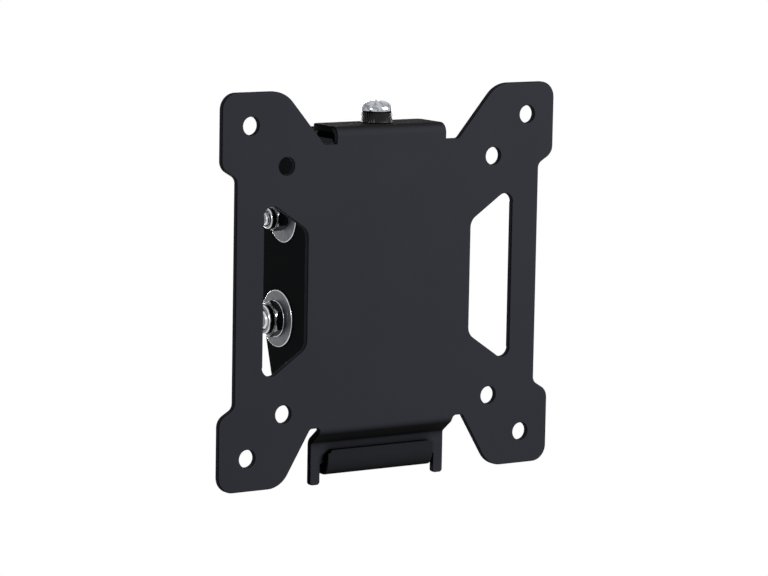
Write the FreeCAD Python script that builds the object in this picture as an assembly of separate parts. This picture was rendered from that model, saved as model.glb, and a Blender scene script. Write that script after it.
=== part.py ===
"""Tilting wall bracket for a small flat screen.

A pressed steel plate with 75 mm and 100 mm hole squares hangs over a folded carriage and is
locked by a hand screw through both top flanges. The carriage's ears straddle a folded wall
plate: it turns on two pivot bolts near the bottom and is clamped by two bolts in arc slots.

Millimetres. X runs to the right for someone facing the wall, Y into the wall, Z up. The origin
is on the wall, level with the middle of the hole squares. Profiles are drawn in depths: a depth
of 0 is the front face of the plate, and the wall is at a depth of DEPTH.
"""
import FreeCAD
import Part

import math
import os

from FreeCAD import Vector

# Sheet metal
DEPTH = 42.0
SHEET = 2.0
BEND_R = 1.0
RELIEF = 1.4

# Screen plate outline
PLATE_HALF = 60.0
ARM_CORNER_R = 5.0
ARM_SHOULDER_R = 4.0
ARM_SIDE = 22.4
ARM_SHOULDER_DROP = 3.2
WAIST_INSET = 5.3
WAIST_R = 2.5
UPPER_ARM_FOOT = 24.3
UPPER_ARM_HEEL = 38.4
UPPER_ARM_R = 9.5
UPPER_NOTCH = 16.5
LOWER_ARM_FOOT = 27.8
LOWER_ARM_HEEL = 38.1
LOWER_ARM_R = 8.0
LOWER_NOTCH = 17.2
NOTCH_R = 1.2

# Screen plate holes
LARGE_SQUARE = 100.0
SMALL_SQUARE = 75.0
SCREEN_HOLE_R = 2.75
OPENING_NEAR_X = 29.6
OPENING_NEAR_Z = 17.7
OPENING_NEAR_R = 4.0
OPENING_FAR_X = 45.2
OPENING_FAR_Z = 28.3
OPENING_FAR_R = 3.0

# Screen plate flange and forked tab
FLANGE_HALF = 19.8
FLANGE_RISE = 5.0
FLANGE_REACH = 15.0
FLANGE_CORNER_R = 2.0
JOGGLE = 5.4
JOGGLE_LEAD = 1.5
JOGGLE_DROP = 4.2
FORK_ROOT_R = 1.2
FORK_BRIDGE = 6.4
FORK_LEG_WIDTH = 3.6
FORK_LEG_LENGTH = 6.6
FORK_SIDE_GAP = 2.35
FORK_CROTCH_R = 0.8
FORK_TIP_R = 1.0

# Tilting carriage
CARRIAGE_HALF = 20.0
CARRIAGE_FLANGE_HALF = 19.0
CARRIAGE_FLANGE_REACH = 14.5
EAR_BELOW_FLANGE = 4.4
EAR_ABOVE_JOGGLE = 10.3
EAR_TOP_R = 5.0
EAR_BOTTOM_R = 4.0
EAR_LOBE_R = 9.2
EAR_HEEL = 0.5
HOOK_HALF = 18.4
HOOK_ROOM = 0.2
HOOK_LIP = 7.5
HOOK_TIP_R = 1.0
ACCESS_HOLE_R = 5.8

# Pivot, tilt bolt and their travel
WALL_CLEARANCE = 0.3
PIVOT_Z = -13.7
TILT_RADIUS = 31.8
TILT_REST_LEAN = 4.5
TILT_DOWN = 15.0
SLOT_SPARE = 0.5
EAR_LEAN_SPARE = 2.0

# Wall plate
WALL_LOBE_R = 8.5
WALL_ABOVE_EAR = 2.4
WALL_TOP_CORNER_R = 4.0
WALL_SLOT_PITCH = 40.0
WALL_SLOT_HALF = 2.75
WALL_SLOT_LENGTH = 12.0

# Bolt stacks through the ears
PIVOT_BOLT_R = 3.0
PIVOT_HEAD_FLATS = 10.0
PIVOT_HEAD_H = 4.0
PIVOT_WASHER_R = 8.9
PIVOT_WASHER_T = 0.7
SPRING_WASHER_R = 5.7
SPRING_WASHER_T = 0.9
SPRING_WASHER_SLIT = 1.0
PIVOT_NUT_HEX_H = 2.3
PIVOT_NUT_COLLAR_H = 2.1
PIVOT_NUT_COLLAR_R = 4.6
PIVOT_TIP = 0.3
TILT_BOLT_R = 2.0
TILT_HEAD_FLATS = 7.0
TILT_HEAD_H = 2.8
TILT_WASHER_R = 7.7
TILT_WASHER_T = 0.7
TILT_NUT_HEX_H = 3.7
TILT_NUT_COLLAR_H = 2.0
TILT_NUT_COLLAR_R = 3.2
TILT_TIP = 1.0
FRICTION_T = 1.0
PIVOT_FRICTION_R = 8.0
TILT_FRICTION_R = 6.5
BOLT_TIP_CHAMFER = 0.6
RIM_CHAMFER = 0.2

# Lock screw
LOCK_DEPTH = 9.1
LOCK_SCREW_R = 2.5
LOCK_HEAD_R = 4.75
LOCK_HEAD_SIDE = 0.9
LOCK_HEAD_H = 2.5
LOCK_RECESS_SPAN = 5.0
LOCK_RECESS_WIDTH = 1.1
LOCK_RECESS_DEPTH = 1.5
LOCK_COLLAR_R = 4.8
LOCK_COLLAR_H = 3.9
LOCK_COLLAR_CHAMFER = 0.4
LOCK_NUT_FLATS = 8.0
LOCK_NUT_H = 4.0
LOCK_TIP_BELOW_NUT = 2.0

# Clearances
RUN_GAP = 0.05
HOLE_GAP = 0.25
SLOT_GAP = 0.2

# Places that follow from the sizes above
BEND_OUT = BEND_R + SHEET
WEB_FRONT = SHEET
ARM_SIDE_END = PLATE_HALF - ARM_SIDE
WAIST_END = ARM_SIDE_END - ARM_SHOULDER_DROP
WAIST_HALF = PLATE_HALF - WAIST_INSET
UPPER_NOTCH_Z = PLATE_HALF - UPPER_NOTCH
LOWER_NOTCH_Z = LOWER_NOTCH - PLATE_HALF
FLANGE_TOP = UPPER_NOTCH_Z + FLANGE_RISE
FLANGE_UNDERSIDE = FLANGE_TOP - SHEET
JOGGLE_TOP = LOWER_NOTCH_Z - JOGGLE_LEAD
JOGGLE_BOTTOM = JOGGLE_TOP - JOGGLE_DROP
FORK_GAP_TOP = JOGGLE_BOTTOM - FORK_BRIDGE
FORK_BOTTOM = FORK_GAP_TOP - FORK_LEG_LENGTH
FORK_GAP_HALF = HOOK_HALF + FORK_SIDE_GAP
FORK_HALF = FORK_GAP_HALF + FORK_LEG_WIDTH
HOOK_GAP = SHEET + HOOK_ROOM
HOOK_BOTTOM = FORK_GAP_TOP - HOOK_ROOM / 2 - HOOK_GAP / 2 - SHEET
HOOK_TOP = HOOK_BOTTOM + HOOK_LIP
EAR_TOP = FLANGE_UNDERSIDE - EAR_BELOW_FLANGE
EAR_BOTTOM = JOGGLE_TOP + EAR_ABOVE_JOGGLE
EAR_BACK = DEPTH - WALL_CLEARANCE
PIVOT_DEPTH = EAR_BACK - EAR_HEEL - EAR_LOBE_R
WALL_TOP = EAR_TOP + WALL_ABOVE_EAR
WALL_HALF = CARRIAGE_HALF - SHEET - FRICTION_T
WALL_BOTTOM = PIVOT_Z - WALL_LOBE_R
WALL_SLOT_MID = (WALL_TOP + WALL_BOTTOM) / 2
WALL_SLOT_HEIGHTS = (WALL_SLOT_MID - WALL_SLOT_PITCH / 2, WALL_SLOT_MID + WALL_SLOT_PITCH / 2)
X_AXIS = Vector(1, 0, 0)
Z_AXIS = Vector(0, 0, 1)


def on_side(x):
    """Placer for side-view corners (depth, z) in the plane of one x."""
    return lambda depth, z: Vector(x, depth - DEPTH, z)


def on_front(depth):
    """Placer for front-view corners (x, z) in the plane of one depth."""
    return lambda x, z: Vector(x, depth - DEPTH, z)


def on_plan(z):
    """Placer for plan-view corners (x, depth) in the plane of one z."""
    return lambda x, depth: Vector(x, depth - DEPTH, z)


def rounded_wire(corners, place):
    """Closed wire through corners (a, b, radius), each rounded by its own radius or left sharp."""
    stretches = []
    for index, (a, b, radius) in enumerate(corners):
        corner = Vector(a, b, 0)
        before = corners[index - 1]
        after = corners[(index + 1) % len(corners)]
        back = (Vector(before[0], before[1], 0) - corner).normalize()
        ahead = (Vector(after[0], after[1], 0) - corner).normalize()
        if radius == 0:
            stretches.append([corner])
            continue
        half_angle = back.getAngle(ahead) / 2
        run = radius / math.tan(half_angle)
        inward = (back + ahead).normalize()
        middle = corner + inward * (radius / math.sin(half_angle) - radius)
        stretches.append([corner + back * run, middle, corner + ahead * run])
    edges = []
    for index, stretch in enumerate(stretches):
        placed = [place(point.x, point.y) for point in stretch]
        following = stretches[(index + 1) % len(stretches)][0]
        start_next = place(following.x, following.y)
        if len(placed) == 3:
            edges.append(Part.Arc(*placed).toShape())
        if placed[-1].distanceToPoint(start_next) > 1e-6:
            edges.append(Part.LineSegment(placed[-1], start_next).toShape())
    return Part.Wire(edges)


def side_prism(corners, half_width):
    """Side-view outline extruded evenly to both sides of the middle plane."""
    face = Part.Face(rounded_wire(corners, on_side(-half_width)))
    return face.extrude(Vector(2 * half_width, 0, 0))


def front_prism(corners, depth, thickness):
    """Front-view outline extruded into the depth."""
    face = Part.Face(rounded_wire(corners, on_front(depth)))
    return face.extrude(Vector(0, thickness, 0))


def plan_prism(corners, z_low, z_high):
    """Plan-view outline extruded upward between two heights."""
    face = Part.Face(rounded_wire(corners, on_plan(z_low)))
    return face.extrude(Vector(0, 0, z_high - z_low))


def slab(z_low, z_high):
    """Wide block between two heights, to keep one stretch of a folded strip."""
    reach = 4 * PLATE_HALF
    corner = Vector(-reach / 2, -reach / 2, z_low)
    return Part.makeBox(reach, reach, z_high - z_low, corner)


def shifted_path(path, distance):
    """Path (depth, z, bend radius) moved to its left, with mitred corners."""
    points = [Vector(depth, z, 0) for depth, z, _ in path]
    heads = [(b - a).normalize() for a, b in zip(points, points[1:])]
    lefts = [Vector(-head.y, head.x, 0) for head in heads]
    moved = [points[0] + lefts[0] * distance]
    for point, left_in, left_out in zip(points[1:], lefts, lefts[1:]):
        mitre = left_in + left_out
        moved.append(point + mitre * (2 * distance / mitre.dot(mitre)))
    moved.append(points[-1] + lefts[-1] * distance)
    return moved


def sheet_corners(path):
    """Closed corner list of a sheet that lies on the left of a path of bends."""
    near = shifted_path(path, 0)
    far = shifted_path(path, SHEET)
    near_side = [(near[0].x, near[0].y, 0)]
    far_side = [(far[0].x, far[0].y, 0)]
    for index in range(1, len(path) - 1):
        inner_r = path[index][2]
        arriving = near[index] - near[index - 1]
        leaving = near[index + 1] - near[index]
        turns_left = arriving.x * leaving.y - arriving.y * leaving.x > 0
        near_r = inner_r + SHEET if turns_left else inner_r
        far_r = inner_r if turns_left else inner_r + SHEET
        near_side.append((near[index].x, near[index].y, near_r))
        far_side.append((far[index].x, far[index].y, far_r))
    near_side.append((near[-1].x, near[-1].y, 0))
    far_side.append((far[-1].x, far[-1].y, 0))
    return near_side + far_side[::-1]


def channel_corners(half_width, web_depth, open_depth):
    """Plan-view corners of a folded channel: a flat web with an ear bent at each side."""
    inward = SHEET if open_depth > web_depth else -SHEET
    inner = half_width - SHEET
    return [
        (-half_width, open_depth, 0),
        (-half_width, web_depth, BEND_OUT),
        (half_width, web_depth, BEND_OUT),
        (half_width, open_depth, 0),
        (inner, open_depth, 0),
        (inner, web_depth + inward, BEND_R),
        (-inner, web_depth + inward, BEND_R),
        (-inner, open_depth, 0),
    ]


def mirrored(corners):
    """Corner list of the right half, followed by its mirror image on the left."""
    return corners + [(-x, z, radius) for x, z, radius in reversed(corners)]


def rounded_edges(shape, radius, points):
    """Fillet the edges whose middle lies at one of the points."""
    chosen = []
    for edge in shape.Edges:
        middle = edge.valueAt((edge.FirstParameter + edge.LastParameter) / 2)
        if any(middle.distanceToPoint(point) < 1e-3 for point in points):
            chosen.append(edge)
    return shape.makeFillet(radius, chosen)


def lower_edge_depth(z):
    """Depth at height z of the ear's lower back edge, which leans forward off the pivot lobe."""
    lean = math.radians(TILT_DOWN + EAR_LEAN_SPARE)
    return PIVOT_DEPTH + (EAR_LOBE_R - (PIVOT_Z - z) * math.sin(lean)) / math.cos(lean)


def ear_heel_z():
    """Height at which the ear's lower back edge meets its upright back edge."""
    lean = math.radians(TILT_DOWN + EAR_LEAN_SPARE)
    short = EAR_LOBE_R - (EAR_BACK - PIVOT_DEPTH) * math.cos(lean)
    return PIVOT_Z - short / math.sin(lean)


def tilt_point(lean):
    """Depth and height of the tilt bolt's axis when it leans forward of the pivot by an angle."""
    angle = math.radians(lean)
    return PIVOT_DEPTH - TILT_RADIUS * math.sin(angle), PIVOT_Z + TILT_RADIUS * math.cos(angle)


def cross_hole(depth, z, radius):
    """Cutter along X through both ears."""
    reach = 2 * CARRIAGE_HALF
    return Part.makeCylinder(radius, 2 * reach, Vector(-reach, depth - DEPTH, z), X_AXIS)


def front_hole(x, z, radius, depth, thickness):
    """Cutter along Y through one sheet."""
    start = Vector(x, depth - DEPTH - thickness, z)
    return Part.makeCylinder(radius, 3 * thickness, start, Vector(0, 1, 0))


def lock_hole(radius):
    """Cutter along the lock screw's axis through both top flanges."""
    start = Vector(0, LOCK_DEPTH - DEPTH, FLANGE_TOP - 3 * SHEET)
    return Part.makeCylinder(radius, 4 * SHEET, start, Z_AXIS)


def turned(profile, axis_point, axis):
    """Solid turned about an axis from a profile of (radius, distance along the axis)."""
    across = Vector(0, 0, 1) if abs(axis.z) < 0.5 else Vector(0, 1, 0)
    points = [axis_point + across * radius + axis * along for radius, along in profile]
    face = Part.Face(Part.makePolygon(points + points[:1]))
    return face.revolve(axis_point, axis, 360)


def ring(outer_r, inner_r, thickness, axis_point, axis):
    """Washer with small chamfers at its rim."""
    rim = min(RIM_CHAMFER, thickness / 3)
    profile = [
        (inner_r, 0),
        (outer_r - rim, 0),
        (outer_r, rim),
        (outer_r, thickness - rim),
        (outer_r - rim, thickness),
        (inner_r, thickness),
    ]
    return turned(profile, axis_point, axis)


def hexagon(flats, height, axis_point, axis):
    """Hexagonal prism whose end corners are chamfered like a nut's."""
    corner_r = flats / math.sqrt(3)
    across = Vector(0, 0, 1) if abs(axis.z) < 0.5 else Vector(1, 0, 0)
    other = axis.cross(across)
    points = []
    for step in range(6):
        angle = math.radians(60 * step)
        spoke = across * math.cos(angle) + other * math.sin(angle)
        points.append(axis_point + spoke * corner_r)
    prism = Part.Face(Part.makePolygon(points + points[:1])).extrude(axis * height)
    chamfer = corner_r - flats / 2
    drop = chamfer * 0.6
    envelope = turned(
        [
            (0, 0),
            (corner_r - chamfer, 0),
            (corner_r, drop),
            (corner_r, height - drop),
            (corner_r - chamfer, height),
            (0, height),
        ],
        axis_point,
        axis,
    )
    return prism.common(envelope)


def screen_plate_path():
    """Bends of the screen plate's middle strip, from the flange's back to the fork's foot."""
    return [
        (FLANGE_REACH, FLANGE_TOP, 0),
        (0, FLANGE_TOP, BEND_R),
        (0, JOGGLE_TOP, BEND_R),
        (JOGGLE, JOGGLE_BOTTOM, BEND_R),
        (JOGGLE, FORK_BOTTOM, 0),
    ]


def carriage_path():
    """Bends of the carriage's middle strip, which lies against the back of the screen plate."""
    behind = shifted_path(screen_plate_path(), SHEET)
    hook_inside = HOOK_BOTTOM + SHEET
    lip_back = behind[3].x - HOOK_GAP
    return [
        (CARRIAGE_FLANGE_REACH, behind[1].y, 0),
        (behind[1].x, behind[1].y, BEND_R),
        (behind[2].x, behind[2].y, BEND_R),
        (behind[3].x, behind[3].y, BEND_R),
        (behind[3].x, hook_inside, HOOK_GAP / 2),
        (lip_back, hook_inside, HOOK_GAP / 2),
        (lip_back, HOOK_TOP, 0),
    ]


def make_screen_plate():
    """Pressed plate with four arms, hole squares, two openings, top flange and forked tab."""
    outline = mirrored(
        [
            (UPPER_ARM_FOOT, UPPER_NOTCH_Z, NOTCH_R),
            (UPPER_ARM_HEEL, PLATE_HALF, UPPER_ARM_R),
            (PLATE_HALF, PLATE_HALF, ARM_CORNER_R),
            (PLATE_HALF, ARM_SIDE_END, ARM_SHOULDER_R),
            (WAIST_HALF, WAIST_END, WAIST_R),
            (WAIST_HALF, -WAIST_END, WAIST_R),
            (PLATE_HALF, -ARM_SIDE_END, ARM_SHOULDER_R),
            (PLATE_HALF, -PLATE_HALF, ARM_CORNER_R),
            (LOWER_ARM_HEEL, -PLATE_HALF, LOWER_ARM_R),
            (LOWER_ARM_FOOT, LOWER_NOTCH_Z, NOTCH_R),
        ]
    )
    plate = front_prism(outline, 0, SHEET)
    strip = sheet_corners(screen_plate_path())
    flange = side_prism(strip, FLANGE_HALF).common(slab(UPPER_NOTCH_Z, FLANGE_TOP))
    flange = rounded_edges(
        flange,
        FLANGE_CORNER_R,
        [
            Vector(sign * FLANGE_HALF, FLANGE_REACH - DEPTH, FLANGE_TOP - SHEET / 2)
            for sign in (-1, 1)
        ],
    )
    root_half = FORK_HALF + 2 * FORK_ROOT_R
    fork_outline = mirrored(
        [
            (root_half, LOWER_NOTCH_Z + SHEET, 0),
            (root_half, LOWER_NOTCH_Z, 0),
            (FORK_HALF, LOWER_NOTCH_Z, FORK_ROOT_R),
            (FORK_HALF, FORK_BOTTOM, FORK_TIP_R),
            (FORK_GAP_HALF, FORK_BOTTOM, FORK_TIP_R),
            (FORK_GAP_HALF, FORK_GAP_TOP, FORK_CROTCH_R),
        ]
    )
    fork = side_prism(strip, root_half).common(front_prism(fork_outline, -SHEET, DEPTH))
    plate = plate.fuse([flange, fork]).removeSplitter()
    cutters = [lock_hole(LOCK_SCREW_R + HOLE_GAP)]
    for square in (LARGE_SQUARE, SMALL_SQUARE):
        for x_sign in (-1, 1):
            for z_sign in (-1, 1):
                x = x_sign * square / 2
                z = z_sign * square / 2
                cutters.append(front_hole(x, z, SCREEN_HOLE_R, 0, SHEET))
    for sign in (-1, 1):
        opening = [
            (sign * OPENING_NEAR_X, OPENING_NEAR_Z, OPENING_NEAR_R),
            (sign * OPENING_FAR_X, OPENING_FAR_Z, OPENING_FAR_R),
            (sign * OPENING_FAR_X, -OPENING_FAR_Z, OPENING_FAR_R),
            (sign * OPENING_NEAR_X, -OPENING_NEAR_Z, OPENING_NEAR_R),
        ]
        cutters.append(front_prism(opening, -SHEET, 3 * SHEET))
    return plate.cut(cutters)


def make_carriage():
    """Folded channel: web against the plate, two ears, top flange and hooked foot."""
    path = sheet_corners(carriage_path())
    flat_half = CARRIAGE_HALF - BEND_OUT
    flange_start = FLANGE_UNDERSIDE - BEND_OUT
    foot_start = EAR_BOTTOM - RELIEF
    web = side_prism(path, flat_half).common(slab(foot_start, flange_start))
    flange = side_prism(path, CARRIAGE_FLANGE_HALF).common(slab(flange_start, FLANGE_TOP))
    flange = rounded_edges(
        flange,
        FLANGE_CORNER_R,
        [
            Vector(
                sign * CARRIAGE_FLANGE_HALF,
                CARRIAGE_FLANGE_REACH - DEPTH,
                FLANGE_UNDERSIDE - SHEET / 2,
            )
            for sign in (-1, 1)
        ],
    )
    foot = side_prism(path, HOOK_HALF).common(slab(HOOK_BOTTOM, foot_start))
    lip_middle = JOGGLE + SHEET - HOOK_GAP - SHEET / 2 - DEPTH
    foot = rounded_edges(
        foot,
        HOOK_TIP_R,
        [
            Vector(sign * HOOK_HALF, lip_middle, HOOK_TOP)
            for sign in (-1, 1)
        ],
    )
    ear_outline = [
        (WEB_FRONT, EAR_TOP, 0),
        (EAR_BACK, EAR_TOP, EAR_TOP_R),
        (EAR_BACK, ear_heel_z(), EAR_LOBE_R),
        (lower_edge_depth(EAR_BOTTOM), EAR_BOTTOM, EAR_BOTTOM_R),
        (WEB_FRONT, EAR_BOTTOM, 0),
    ]
    channel = plan_prism(channel_corners(CARRIAGE_HALF, WEB_FRONT, DEPTH), EAR_BOTTOM, EAR_TOP)
    ears = channel.common(side_prism(ear_outline, CARRIAGE_HALF))
    carriage = web.fuse([flange, foot, ears]).removeSplitter()
    tilt_depth, tilt_z = tilt_point(TILT_REST_LEAN)
    cutters = [
        cross_hole(PIVOT_DEPTH, PIVOT_Z, PIVOT_BOLT_R + RUN_GAP),
        cross_hole(tilt_depth, tilt_z, TILT_BOLT_R + RUN_GAP),
        lock_hole(LOCK_SCREW_R + HOLE_GAP),
    ]
    for z in WALL_SLOT_HEIGHTS:
        cutters.append(front_hole(0, z, ACCESS_HOLE_R, WEB_FRONT, SHEET))
    return carriage.cut(cutters)


def make_arc_slot():
    """Cutter along X for the arc that the tilt bolt sweeps about the pivot."""
    half = TILT_BOLT_R + SLOT_GAP
    first = TILT_REST_LEAN - SLOT_SPARE
    last = TILT_REST_LEAN + TILT_DOWN + SLOT_SPARE
    pivot = Vector(-2 * CARRIAGE_HALF, PIVOT_DEPTH - DEPTH, PIVOT_Z)
    length = 4 * CARRIAGE_HALF
    outer = Part.makeCylinder(TILT_RADIUS + half, length, pivot, X_AXIS)
    inner = Part.makeCylinder(TILT_RADIUS - half, length, pivot, X_AXIS)
    far = 2 * TILT_RADIUS
    wedge_points = [pivot]
    for lean in (first, last):
        angle = math.radians(lean)
        spoke = Vector(0, -math.sin(angle), math.cos(angle))
        wedge_points.append(pivot + spoke * far)
    wedge = Part.Face(Part.makePolygon(wedge_points + wedge_points[:1])).extrude(X_AXIS * length)
    band = outer.cut(inner).common(wedge)
    ends = [cross_hole(*tilt_point(lean), half) for lean in (first, last)]
    return band.fuse(ends)


def make_wall_plate():
    """Folded channel against the wall: fixing slots, pivot holes and arc slots in its ears."""
    flat_half = WALL_HALF - BEND_OUT
    front_depth, front_z = tilt_point(TILT_REST_LEAN + TILT_DOWN + SLOT_SPARE)
    ear_top = front_z + WALL_LOBE_R
    lean = math.radians(TILT_REST_LEAN + TILT_DOWN + SLOT_SPARE)
    foot_reach = WALL_LOBE_R * (1 - math.sin(lean)) / math.cos(lean)
    head_reach = WALL_LOBE_R * (1 + math.sin(lean)) / math.cos(lean)
    ear_outline = [
        (DEPTH, WALL_BOTTOM, 0),
        (DEPTH, ear_top, 0),
        (front_depth - head_reach, ear_top, WALL_LOBE_R),
        (PIVOT_DEPTH - foot_reach, WALL_BOTTOM, WALL_LOBE_R),
    ]
    channel = plan_prism(channel_corners(WALL_HALF, DEPTH, 0), WALL_BOTTOM, ear_top)
    ears = channel.common(side_prism(ear_outline, WALL_HALF))
    base_depth = DEPTH - SHEET
    spine = front_prism(
        mirrored([(flat_half, WALL_TOP - BEND_OUT, 0), (flat_half, WALL_BOTTOM, 0)]),
        base_depth,
        SHEET,
    )
    tongue = front_prism(
        mirrored(
            [
                (WALL_HALF, WALL_TOP, WALL_TOP_CORNER_R),
                (WALL_HALF, ear_top + RELIEF, 0),
            ]
        ),
        base_depth,
        SHEET,
    )
    wall_plate = spine.fuse([ears, tongue]).removeSplitter()
    cutters = [cross_hole(PIVOT_DEPTH, PIVOT_Z, PIVOT_BOLT_R + RUN_GAP), make_arc_slot()]
    slot_side = WALL_SLOT_LENGTH / 2
    for z in WALL_SLOT_HEIGHTS:
        slot = mirrored(
            [
                (WALL_SLOT_HALF, z + slot_side, WALL_SLOT_HALF),
                (WALL_SLOT_HALF, z - slot_side, WALL_SLOT_HALF),
            ]
        )
        cutters.append(front_prism(slot, base_depth - SHEET, 3 * SHEET))
    return wall_plate.cut(cutters)


def make_bolt(radius, flats, head_h, point, tip_x):
    """Hexagon head bolt along X, its head inside the wall plate's ear and its tip outside."""
    seat = point + X_AXIS * (WALL_HALF - SHEET - RUN_GAP)
    head = hexagon(flats, head_h, seat - X_AXIS * head_h, X_AXIS)
    length = tip_x - seat.x
    shank = turned(
        [
            (0, -head_h / 2),
            (radius, -head_h / 2),
            (radius, length - BOLT_TIP_CHAMFER),
            (radius - BOLT_TIP_CHAMFER, length),
            (0, length),
        ],
        seat,
        X_AXIS,
    )
    return head.fuse(shank).removeSplitter()


def make_stop_nut(bolt_r, flats, hex_h, collar_r, collar_h, seat):
    """Self-locking nut: hexagon with a round collar that holds the insert."""
    body = hexagon(flats, hex_h, seat, X_AXIS)
    rim = collar_h / 2
    collar = turned(
        [
            (0, hex_h / 2),
            (collar_r, hex_h / 2),
            (collar_r, hex_h + collar_h - rim),
            (collar_r - rim, hex_h + collar_h),
            (0, hex_h + collar_h),
        ],
        seat,
        X_AXIS,
    )
    bore = Part.makeCylinder(bolt_r + RUN_GAP, 4 * hex_h, seat - X_AXIS * hex_h, X_AXIS)
    return body.fuse(collar).removeSplitter().cut(bore)


def make_spring_washer(seat):
    """Split washer under the pivot nut."""
    washer = ring(SPRING_WASHER_R, PIVOT_BOLT_R + RUN_GAP, SPRING_WASHER_T, seat, X_AXIS)
    slit_corner = seat + Vector(-SPRING_WASHER_T, 0, -SPRING_WASHER_SLIT / 2)
    slit = Part.makeBox(
        3 * SPRING_WASHER_T, 2 * SPRING_WASHER_R, SPRING_WASHER_SLIT, slit_corner
    )
    return washer.cut(slit)


def pivot_stack():
    """Pieces on the right-hand pivot bolt, by name."""
    point = Vector(0, PIVOT_DEPTH - DEPTH, PIVOT_Z)
    bore = PIVOT_BOLT_R + RUN_GAP
    washer_x = CARRIAGE_HALF + RUN_GAP
    spring_x = washer_x + PIVOT_WASHER_T
    nut_x = spring_x + SPRING_WASHER_T
    tip_x = nut_x + PIVOT_NUT_HEX_H + PIVOT_NUT_COLLAR_H + PIVOT_TIP
    friction_t = FRICTION_T - RUN_GAP
    friction_seat = point + X_AXIS * WALL_HALF
    return {
        "pivot_bolt": make_bolt(PIVOT_BOLT_R, PIVOT_HEAD_FLATS, PIVOT_HEAD_H, point, tip_x),
        "pivot_friction_washer": ring(PIVOT_FRICTION_R, bore, friction_t, friction_seat, X_AXIS),
        "pivot_washer": ring(
            PIVOT_WASHER_R, bore, PIVOT_WASHER_T, point + X_AXIS * washer_x, X_AXIS
        ),
        "pivot_spring_washer": make_spring_washer(point + X_AXIS * spring_x),
        "pivot_nut": make_stop_nut(
            PIVOT_BOLT_R,
            PIVOT_HEAD_FLATS,
            PIVOT_NUT_HEX_H,
            PIVOT_NUT_COLLAR_R,
            PIVOT_NUT_COLLAR_H,
            point + X_AXIS * nut_x,
        ),
    }


def tilt_stack():
    """Pieces on the right-hand tilt bolt, by name."""
    depth, z = tilt_point(TILT_REST_LEAN)
    point = Vector(0, depth - DEPTH, z)
    bore = TILT_BOLT_R + RUN_GAP
    nut_x = CARRIAGE_HALF + TILT_WASHER_T
    tip_x = nut_x + TILT_NUT_HEX_H + TILT_NUT_COLLAR_H + TILT_TIP
    friction_seat = point + X_AXIS * (WALL_HALF + RUN_GAP)
    washer_seat = point + X_AXIS * CARRIAGE_HALF
    friction_t = FRICTION_T - RUN_GAP
    return {
        "tilt_bolt": make_bolt(TILT_BOLT_R, TILT_HEAD_FLATS, TILT_HEAD_H, point, tip_x),
        "tilt_friction_washer": ring(TILT_FRICTION_R, bore, friction_t, friction_seat, X_AXIS),
        "tilt_washer": ring(TILT_WASHER_R, bore, TILT_WASHER_T, washer_seat, X_AXIS),
        "tilt_nut": make_stop_nut(
            TILT_BOLT_R,
            TILT_HEAD_FLATS,
            TILT_NUT_HEX_H,
            TILT_NUT_COLLAR_R,
            TILT_NUT_COLLAR_H,
            point + X_AXIS * nut_x,
        ),
    }


def make_lock_nut():
    """Nut welded under the carriage's flange for the lock screw."""
    top = FLANGE_UNDERSIDE - SHEET
    seat = Vector(0, LOCK_DEPTH - DEPTH, top - LOCK_NUT_H)
    body = hexagon(LOCK_NUT_FLATS, LOCK_NUT_H, seat, Z_AXIS)
    start = seat - Z_AXIS * LOCK_NUT_H
    bore = Part.makeCylinder(LOCK_SCREW_R + RUN_GAP, 3 * LOCK_NUT_H, start, Z_AXIS)
    return body.cut(bore)


def make_lock_collar():
    """Gripping sleeve between the lock screw's head and the plate's flange."""
    seat = Vector(0, LOCK_DEPTH - DEPTH, FLANGE_TOP)
    edge = LOCK_COLLAR_CHAMFER
    return turned(
        [
            (LOCK_SCREW_R + RUN_GAP, 0),
            (LOCK_COLLAR_R - edge, 0),
            (LOCK_COLLAR_R, edge),
            (LOCK_COLLAR_R, LOCK_COLLAR_H - edge),
            (LOCK_COLLAR_R - edge, LOCK_COLLAR_H),
            (LOCK_SCREW_R + RUN_GAP, LOCK_COLLAR_H),
        ],
        seat,
        Z_AXIS,
    )


def make_lock_screw():
    """Pan head screw through the sleeve and both flanges into the welded nut."""
    base = Vector(0, LOCK_DEPTH - DEPTH, FLANGE_TOP + LOCK_COLLAR_H)
    rise = LOCK_HEAD_H - LOCK_HEAD_SIDE
    dome_r = (LOCK_HEAD_R**2 + rise**2) / (2 * rise)
    dome_start = LOCK_HEAD_H - dome_r
    half_r = LOCK_HEAD_R / 2
    half_rise = dome_start + math.sqrt(dome_r**2 - half_r**2)
    tip = FLANGE_UNDERSIDE - SHEET - LOCK_NUT_H - LOCK_TIP_BELOW_NUT - base.z
    profile = [
        (0, tip),
        (LOCK_SCREW_R - BOLT_TIP_CHAMFER, tip),
        (LOCK_SCREW_R, tip + BOLT_TIP_CHAMFER),
        (LOCK_SCREW_R, 0),
        (LOCK_HEAD_R, 0),
        (LOCK_HEAD_R, LOCK_HEAD_SIDE),
        (half_r, half_rise),
        (0, LOCK_HEAD_H),
    ]
    placed = [base + Vector(radius, 0, along) for radius, along in profile]
    edges = []
    for start, end in zip(placed[:5], placed[1:6]):
        edges.append(Part.LineSegment(start, end).toShape())
    edges.append(Part.Arc(placed[5], placed[6], placed[7]).toShape())
    edges.append(Part.LineSegment(placed[7], placed[0]).toShape())
    screw = Part.Face(Part.Wire(edges)).revolve(base, Z_AXIS, 360)
    floor = LOCK_HEAD_H - LOCK_RECESS_DEPTH
    for along, across in (
        (LOCK_RECESS_SPAN, LOCK_RECESS_WIDTH),
        (LOCK_RECESS_WIDTH, LOCK_RECESS_SPAN),
    ):
        corner = base + Vector(-along / 2, -across / 2, floor)
        screw = screw.cut(Part.makeBox(along, across, LOCK_HEAD_H, corner))
    return screw


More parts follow.
